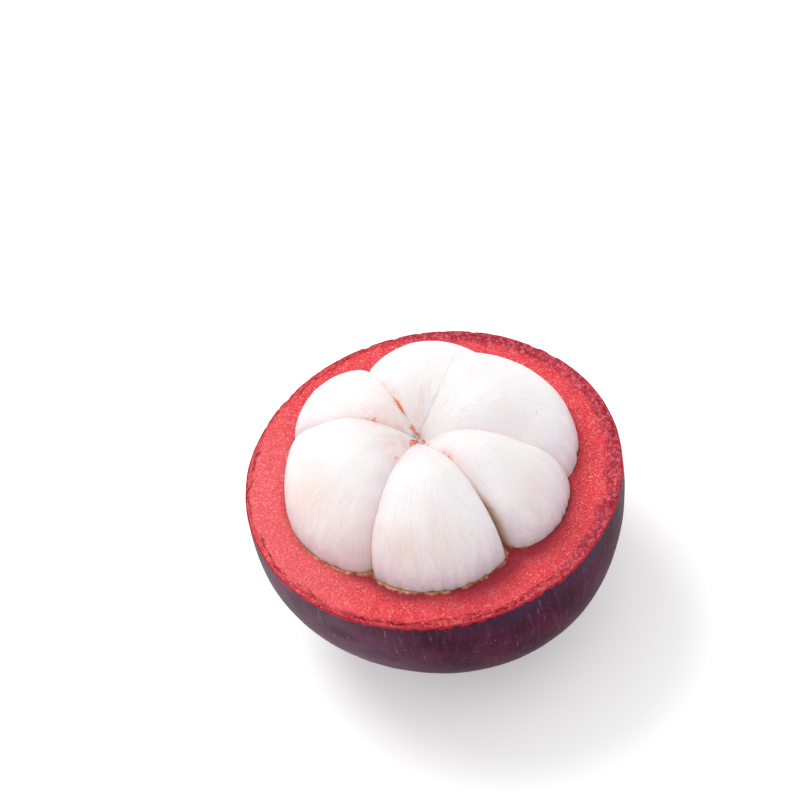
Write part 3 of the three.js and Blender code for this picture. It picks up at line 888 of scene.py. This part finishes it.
core = Finish("soft_core", {"Roughness": 0.42, "Subsurface Weight": 0.7, "Subsurface Scale": 0.9 * MM})
core.feed(core.shader, {"Subsurface Radius": (1.0, 0.6, 0.5)})
core_grain = core.clouds(core.place(), 0.35 * MM, 3, 0.6)
core_colour = core.mixed(core.smooth(core_grain, 0.4, 0.62), dye(252, 238, 232), dye(248, 214, 200))
core_red = core.painted("red") * (0.5 + core.smooth(core_grain, 0.4, 0.6) * 0.5)
core_colour = core.mixed(core_red, core_colour, dye(232, 84, 62))
core.feed(core.shader, {"Base Color": core_colour, "Normal": core.bumped(core_grain, 0.1 * MM)})

profile = [(0, STRAND_BOX[0].z), (STRAND_RADIUS, STRAND_BOX[0].z)]
profile.append((STRAND_RADIUS, MOUND_TOP_Z - MOUND_ROUNDNESS - 1 * MM))
for row in range(MOUND_ROWS + 1):
    away = math.cos(row / MOUND_ROWS * math.pi / 2)
    profile.append((MOUND_RADIUS * away, MOUND_TOP_Z - MOUND_ROUNDNESS * away**2))
axis_plug = piece_of("axis_plug", spun(profile, MOUND_STEPS), core.material)
surface = points_of(axis_plug)
surface[:, 0] += FLESH_MIDDLE.x
ragged = 0.12 * lumps(surface, 0.9 * MM, 3, seed=22)
surface[:, 2] += ragged * step(surface[:, 2], MOUND_TOP_Z - MOUND_ROUNDNESS, MOUND_TOP_Z - 1 * MM) * MM
move_points(axis_plug, surface)
RED_PATCHES = [
    ((-1.75, -0.5, 8.8), 0.75, 1),
    ((-0.7, -0.2, 8.8), 0.45, 0.8),
    ((0.2, -0.9, 8.7), 0.5, 0.9),
    ((-1.5, 1.6, 8.6), 0.7, 0.7),
    ((0.8, -2.0, 8.2), 0.7, 0.5),
]
paint(axis_plug, "red", tinted((surface - np.array(CUT_MIDDLE)) / MM, RED_PATCHES))
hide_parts("axis_strand")
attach(axis_plug, "root")

fibre = Finish("orange_fibre", {"Roughness": 0.45, "Subsurface Weight": 0.4, "Subsurface Scale": 0.4 * MM})
fibre_tint = fibre.clouds(fibre.place(), 0.4 * MM, 3, 0.6)
fibre_colour = fibre.mixed(fibre.smooth(fibre_tint, 0.4, 0.6), dye(230, 92, 74), dye(250, 174, 118))
fibre.feed(fibre.shader, {"Base Color": fibre_colour, "Normal": fibre.bumped(fibre_tint, 0.08 * MM)})

# Each fibre: its thickness in mm, and its way, as points over the middle of the cut.
FIBRES = [
    (0.16, (-1.75, 2.1, 10.4), (-1.5, 1.75, 10.1), (-1.5, 1.3, 9.8), (-1.1, 0.9, 9.35), (-0.9, 0.5, 9.0)),
    (0.13, (-0.65, 0.1, 8.6), (-0.4, -0.2, 8.8), (-0.1, -0.6, 8.95)),
    (0.1, (-2.1, 1.85, 10.3), (-1.9, 1.6, 10.1), (-1.6, 1.55, 9.8)),
    (0.1, (-2.1, 1.05, 9.75), (-1.8, 1.15, 9.6), (-1.4, 1.2, 9.4)),
    (0.22, (-3.5, 6.7, 12.2), (-3.0, 5.3, 12.0), (-2.75, 4.5, 11.65), (-2.4, 3.7, 11.2)),
    (0.06, (17.65, -0.5, 10.62), (17.75, -1.2, 10.32)),
    (0.06, (6.7, 11.1, 13.7), (6.65, 10.2, 13.9)),
]
axis_fibres = bpy.data.objects.new("axis_fibres", bpy.data.curves.new("axis_fibres", "CURVE"))
bpy.context.scene.collection.objects.link(axis_fibres)
axis_fibres.data.dimensions = "3D"
axis_fibres.data.bevel_depth = 1 * MM
axis_fibres.data.bevel_resolution = 2
axis_fibres.data.use_fill_caps = True
axis_fibres.data.materials.append(fibre.material)
for thickness, *route in FIBRES:
    spline = axis_fibres.data.splines.new("BEZIER")
    spline.bezier_points.add(len(route) - 1)
    for point, place in zip(spline.bezier_points, route):
        point.co = CUT_MIDDLE + Vector(place) * MM
        point.handle_left_type = point.handle_right_type = "AUTO"
        point.radius = thickness
    for end in (0, -1):
        spline.bezier_points[end].radius = 0.4 * thickness
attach(axis_fibres, "root")

# ---- Rosette under the base ----
# The dry, woody rest of the flower's stigma, flat against the skin: one rounded lobe to a segment,
# with slits between them. The half stands on it.
ROSETTE_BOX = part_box("stigma_rosette")
ROSETTE_RADIUS = ROSETTE_BOX[1].x
ROSETTE_TOP = BASE_Z + 0.5 * MM
LOBES = len(SEGMENTS)
STEPS_PER_LOBE = 40

wood = Finish("dry_rosette", {"Roughness": 0.8})
wood_place = wood.place()
wood_grain = wood.clouds(wood_place, 0.5 * MM, detail=4, roughness=0.6)
wood_colour = wood.mixed(wood.smooth(wood_grain, 0.35, 0.7), dye(58, 36, 28), dye(112, 82, 62))
wood_colour = wood.mixed(wood.painted("slit"), wood_colour, dye(30, 14, 14))
wood.feed(wood.shader, {"Base Color": wood_colour, "Normal": wood.bumped(wood_grain, 0.15 * MM)})

profile = [(0, 0)]
for share in (0.08, 0.2, 0.32, 0.44, 0.56, 0.68, 0.8, 0.9):
    profile.append((share * ROSETTE_RADIUS, 0))
profile += [(0.96 * ROSETTE_RADIUS, 0.05 * MM), (ROSETTE_RADIUS, 0.3 * MM), (ROSETTE_RADIUS, 0.8 * MM)]
profile += [(0.97 * ROSETTE_RADIUS, ROSETTE_TOP), (0.5 * ROSETTE_RADIUS, ROSETTE_TOP), (0, ROSETTE_TOP)]
rosette = piece_of("rosette", spun(profile, LOBES * STEPS_PER_LOBE), wood.material)
plain = points_of(rosette)
radius, azimuth = around(plain)
share = radius / ROSETTE_RADIUS
between = np.abs(np.sin(azimuth * LOBES / 2))  # 1 midway between two lobes
slit = step(between, 0.93, 1) * step(share, 0.25, 0.5)
shrink = 1 - 0.28 * between**3 * share**2 - 0.06 * slit
shrink = shrink * (1 + 0.02 * lumps(plain, 1.6 * MM, seed=18) * share)
surface = plain * rows_of(shrink, shrink, 1)
underside = step(plain[:, 2], 0.4 * MM, 0.1 * MM)
relief = 0.1 * step(lumps(plain, 1.1 * MM, 2, seed=19), -0.2, 0.8) + 0.3 * slit + 0.2 * step(share, 0.12, 0)
surface[:, 2] += underside * relief * MM
move_points(rosette, surface)
paint(rosette, "slit", 0.8 * slit)
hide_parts("stigma_rosette")
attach(rosette, "root")

# ---- Floor and light ----
# A plain pale floor under a bright, soft studio: white all round, and one large soft lamp high on the
# left, a little behind the fruit.
FLOOR_HALF = 4
STUDIO_BRIGHTNESS = 0.8
LAMP_WAY = Vector((-0.33, 0.42, 0.85)).normalized()
LAMP_DISTANCE = 700 * MM
LAMP_WIDTH = 400 * MM
LAMP_POWER = 2.15  # watts

floor_finish = Finish("pale_floor", {"Base Color": dye(252, 252, 252), "Roughness": 0.9})
floor_finish.feed(floor_finish.shader, {"Emission Color": (1, 1, 1, 1), "Emission Strength": 0.25})
bm = bmesh.new()
bmesh.ops.create_grid(bm, x_segments=1, y_segments=1, size=FLOOR_HALF)
floor = piece_of("floor", bm, floor_finish.material)

world = bpy.data.worlds.new("studio")
world.use_nodes = True
world.node_tree.nodes["Background"].inputs["Color"].default_value = (1, 1, 1, 1)
world.node_tree.nodes["Background"].inputs["Strength"].default_value = STUDIO_BRIGHTNESS
bpy.context.scene.world = world

lamp = bpy.data.objects.new("key", bpy.data.lights.new("key", "AREA"))
bpy.context.scene.collection.objects.link(lamp)
lamp.data.shape = "DISK"
lamp.data.size = LAMP_WIDTH
lamp.data.energy = LAMP_POWER
lamp.location = CUT_MIDDLE + LAMP_WAY * LAMP_DISTANCE
lamp.rotation_euler = LAMP_WAY.to_track_quat("Z", "Y").to_euler()
bpy.context.scene.view_settings.view_transform = "Standard"
